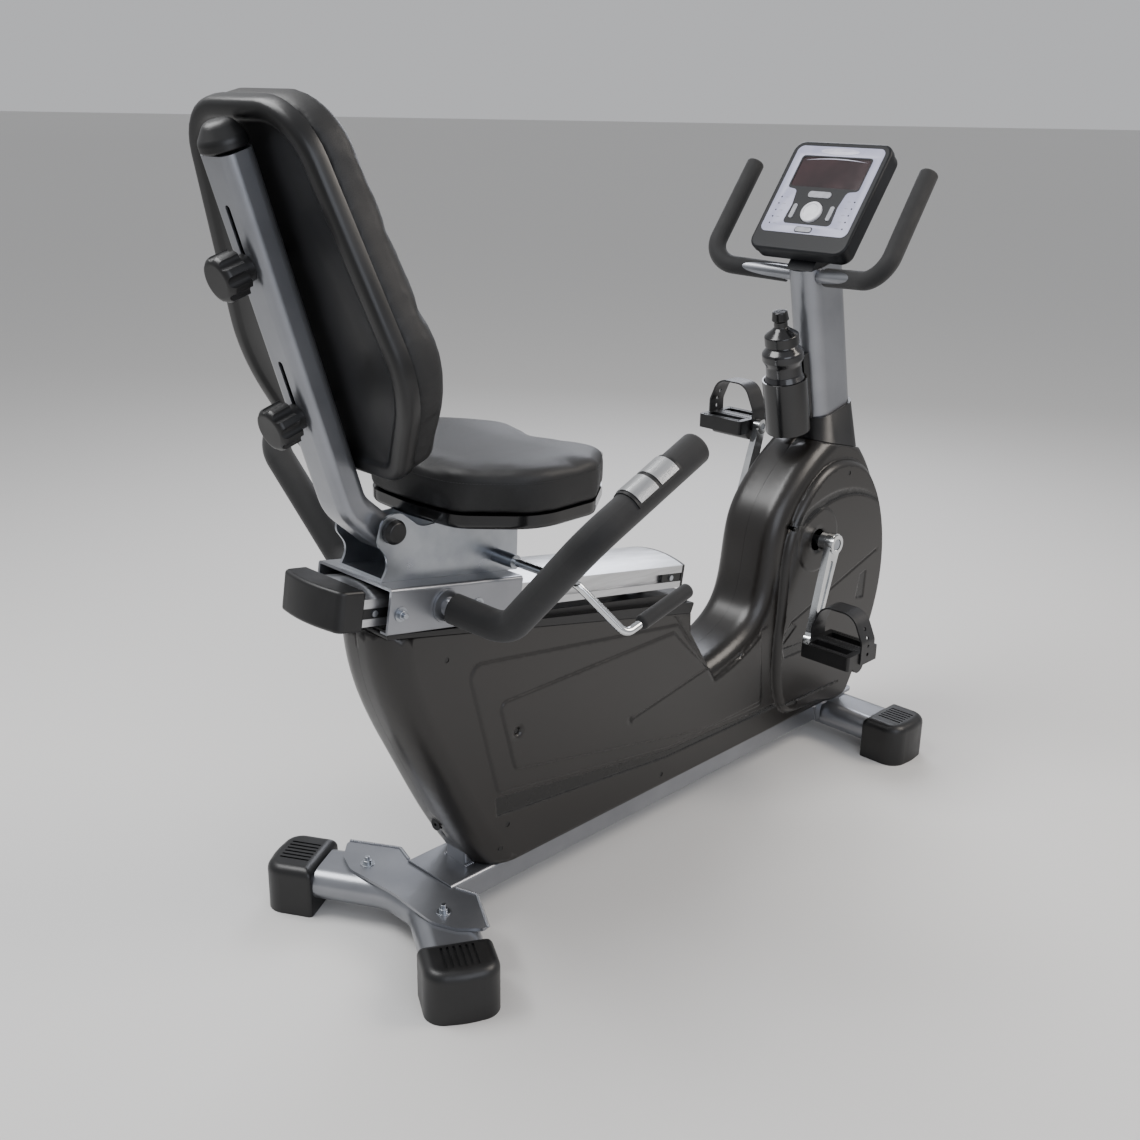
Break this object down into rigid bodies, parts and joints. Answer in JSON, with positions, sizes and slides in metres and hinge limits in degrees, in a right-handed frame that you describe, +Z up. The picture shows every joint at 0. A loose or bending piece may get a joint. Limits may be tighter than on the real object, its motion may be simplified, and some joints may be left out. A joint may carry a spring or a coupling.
{
  "type": "recumbent exercise bike",
  "caption": "Recumbent exercise bike with a sliding seat, height-adjustable backrest, side handles, crank and pedals with a belt-driven flywheel, console, handlebar and bottle.",
  "frame": {"origin": "on the floor, under the middle of the bike", "axes": "+X forward towards the console, +Y to the rider's left, +Z up"},
  "size_m": [1.406, 0.729, 1.2003],
  "materials": {
    "frame_silver": "satin",
    "rail_aluminium": "brushed",
    "zinc_steel": "plated",
    "chrome": "polished",
    "sensor_steel": "brushed",
    "cast_iron": "machined",
    "shroud_brown": "satin",
    "moulded_black": "textured",
    "gloss_black": "glossy",
    "console_grey": "satin",
    "screen_glass": "glossy",
    "dial_white": "satin",
    "button_grey": "satin",
    "foam_grip": "foam",
    "vinyl": "grained",
    "strap_rubber": "matte"
  },
  "bodies": {
    "frame": {"main_rail": "frame_silver", "rear_stabilizer": "frame_silver", "front_stabilizer": "frame_silver", "seat_posts": "frame_silver", "frame_upright": "frame_silver", "mast": "frame_silver", "front_handlebar": "frame_silver", "seat_rail": "rail_aluminium", "frame_bolts": "zinc_steel", "bearings": "zinc_steel", "shroud_right": "shroud_brown", "shroud_left": "shroud_brown", "stabilizer_feet": "moulded_black", "shroud_deck": "moulded_black", "mast_collar": "moulded_black", "rail_end_caps": "moulded_black", "cover_screws": "moulded_black", "power_inlet": "moulded_black", "bottle_holder": "gloss_black", "console_front": "console_grey", "console_back": "console_grey", "console_screen": "screen_glass", "front_grips": "foam_grip", "drive_belt": "strap_rubber"},
    "seat": {"seat_carriage": "frame_silver", "carriage_glides": "moulded_black", "seat_bolts": "zinc_steel", "seat_bracket": "frame_silver", "seat_pan": "gloss_black", "seat_cushion": "vinyl", "backrest_post": "frame_silver", "tube_plugs": "moulded_black", "side_handle_tubes": "frame_silver", "side_grips": "foam_grip", "sensor_bezels": "moulded_black", "pulse_plates": "sensor_steel"},
    "lever": {"lock_lever": "chrome", "lock_lever_grip": "foam_grip"},
    "backrest": {"backrest_shell": "gloss_black", "backrest_cushion": "vinyl"},
    "knob_upper": {"knob_upper": "moulded_black"},
    "knob_lower": {"knob_lower": "moulded_black"},
    "crank": {"crank_axle": "zinc_steel", "drive_pulley": "moulded_black", "crank_arm_right": "chrome", "crank_arm_left": "chrome", "pedal_spindles": "zinc_steel"},
    "pedal_right": {"pedal_right": "moulded_black", "pedal_strap_right": "strap_rubber"},
    "pedal_left": {"pedal_left": "moulded_black", "pedal_strap_left": "strap_rubber"},
    "flywheel": {"flywheel": "cast_iron"},
    "magnet_carrier": {"magnet_carrier": "moulded_black"},
    "dial": {"console_dial": "dial_white"},
    "start_button": {"start_button": "button_grey"},
    "select_left": {"select_button_left": "button_grey"},
    "select_right": {"select_button_right": "button_grey"},
    "recovery": {"recovery_button": "button_grey"},
    "bottle": {"bottle_body": "gloss_black", "bottle_lid": "gloss_black"}
  },
  "joints": [
    {"name": "seat_slide", "type": "slide", "parent": "frame", "child": "seat", "axis": [0.9866, 0, -0.1633], "range_m": [-0.015, 0.26]},
    {"name": "lever_hinge", "type": "hinge", "parent": "seat", "child": "lever", "pos_m": [-0.30694, 0, 0.578], "axis": [0, -1, 0], "range_deg": [0, 20], "stiffness_Nm_per_rad": 1.5, "springref_deg": -17.19},
    {"name": "backrest_slide", "type": "slide", "parent": "seat", "child": "backrest", "axis": [-0.3007, 0, 0.9537], "range_m": [0, 0.045]},
    {"name": "knob_upper_turn", "type": "hinge", "parent": "backrest", "child": "knob_upper", "pos_m": [-0.61086, 0, 1.01332], "axis": [0.9537, 0, 0.3007], "continuous": true},
    {"name": "knob_lower_turn", "type": "hinge", "parent": "backrest", "child": "knob_lower", "pos_m": [-0.55252, 0, 0.8283], "axis": [0.9537, 0, 0.3007], "continuous": true},
    {"name": "crank_spin", "type": "hinge", "parent": "frame", "child": "crank", "pos_m": [0.45706, 0, 0.4357], "axis": [0, 1, 0], "continuous": true},
    {"name": "pedal_right_spin", "type": "hinge", "parent": "crank", "child": "pedal_right", "pos_m": [0.38937, -0.182, 0.27107], "axis": [0, 1, 0], "continuous": true},
    {"name": "pedal_left_spin", "type": "hinge", "parent": "crank", "child": "pedal_left", "pos_m": [0.52475, 0.182, 0.60033], "axis": [0, 1, 0], "continuous": true},
    {"name": "flywheel_spin", "type": "hinge", "parent": "frame", "child": "flywheel", "pos_m": [0.57206, 0, 0.25], "axis": [0, 1, 0], "continuous": true},
    {"name": "magnet_swing", "type": "hinge", "parent": "frame", "child": "magnet_carrier", "pos_m": [0.47506, 0, 0.182], "axis": [0, 1, 0], "range_deg": [0, 12]},
    {"name": "dial_turn", "type": "hinge", "parent": "frame", "child": "dial", "pos_m": [0.46961, 0, 1.00621], "axis": [-0.7965, 0, 0.6046], "continuous": true},
    {"name": "start_press", "type": "slide", "parent": "frame", "child": "start_button", "axis": [0.7965, 0, -0.6046], "range_m": [0, 0.0012], "stiffness_N_per_m": 300, "springref_m": -0.002},
    {"name": "select_left_press", "type": "slide", "parent": "frame", "child": "select_left", "axis": [0.7965, 0, -0.6046], "range_m": [0, 0.0012], "stiffness_N_per_m": 300, "springref_m": -0.002},
    {"name": "select_right_press", "type": "slide", "parent": "frame", "child": "select_right", "axis": [0.7965, 0, -0.6046], "range_m": [0, 0.0012], "stiffness_N_per_m": 300, "springref_m": -0.002},
    {"name": "recovery_press", "type": "slide", "parent": "frame", "child": "recovery", "axis": [0.7965, 0, -0.6046], "range_m": [0, 0.0012], "stiffness_N_per_m": 300, "springref_m": -0.002},
    {"name": "bottle_lift", "type": "slide", "parent": "frame", "child": "bottle", "axis": [-0.2233, 0, 0.9748], "range_m": [0, 0.16]}
  ],
  "couplings": [
    {"joint": "flywheel_spin", "follows": "crank_spin", "ratio": 6.7857}
  ]
}
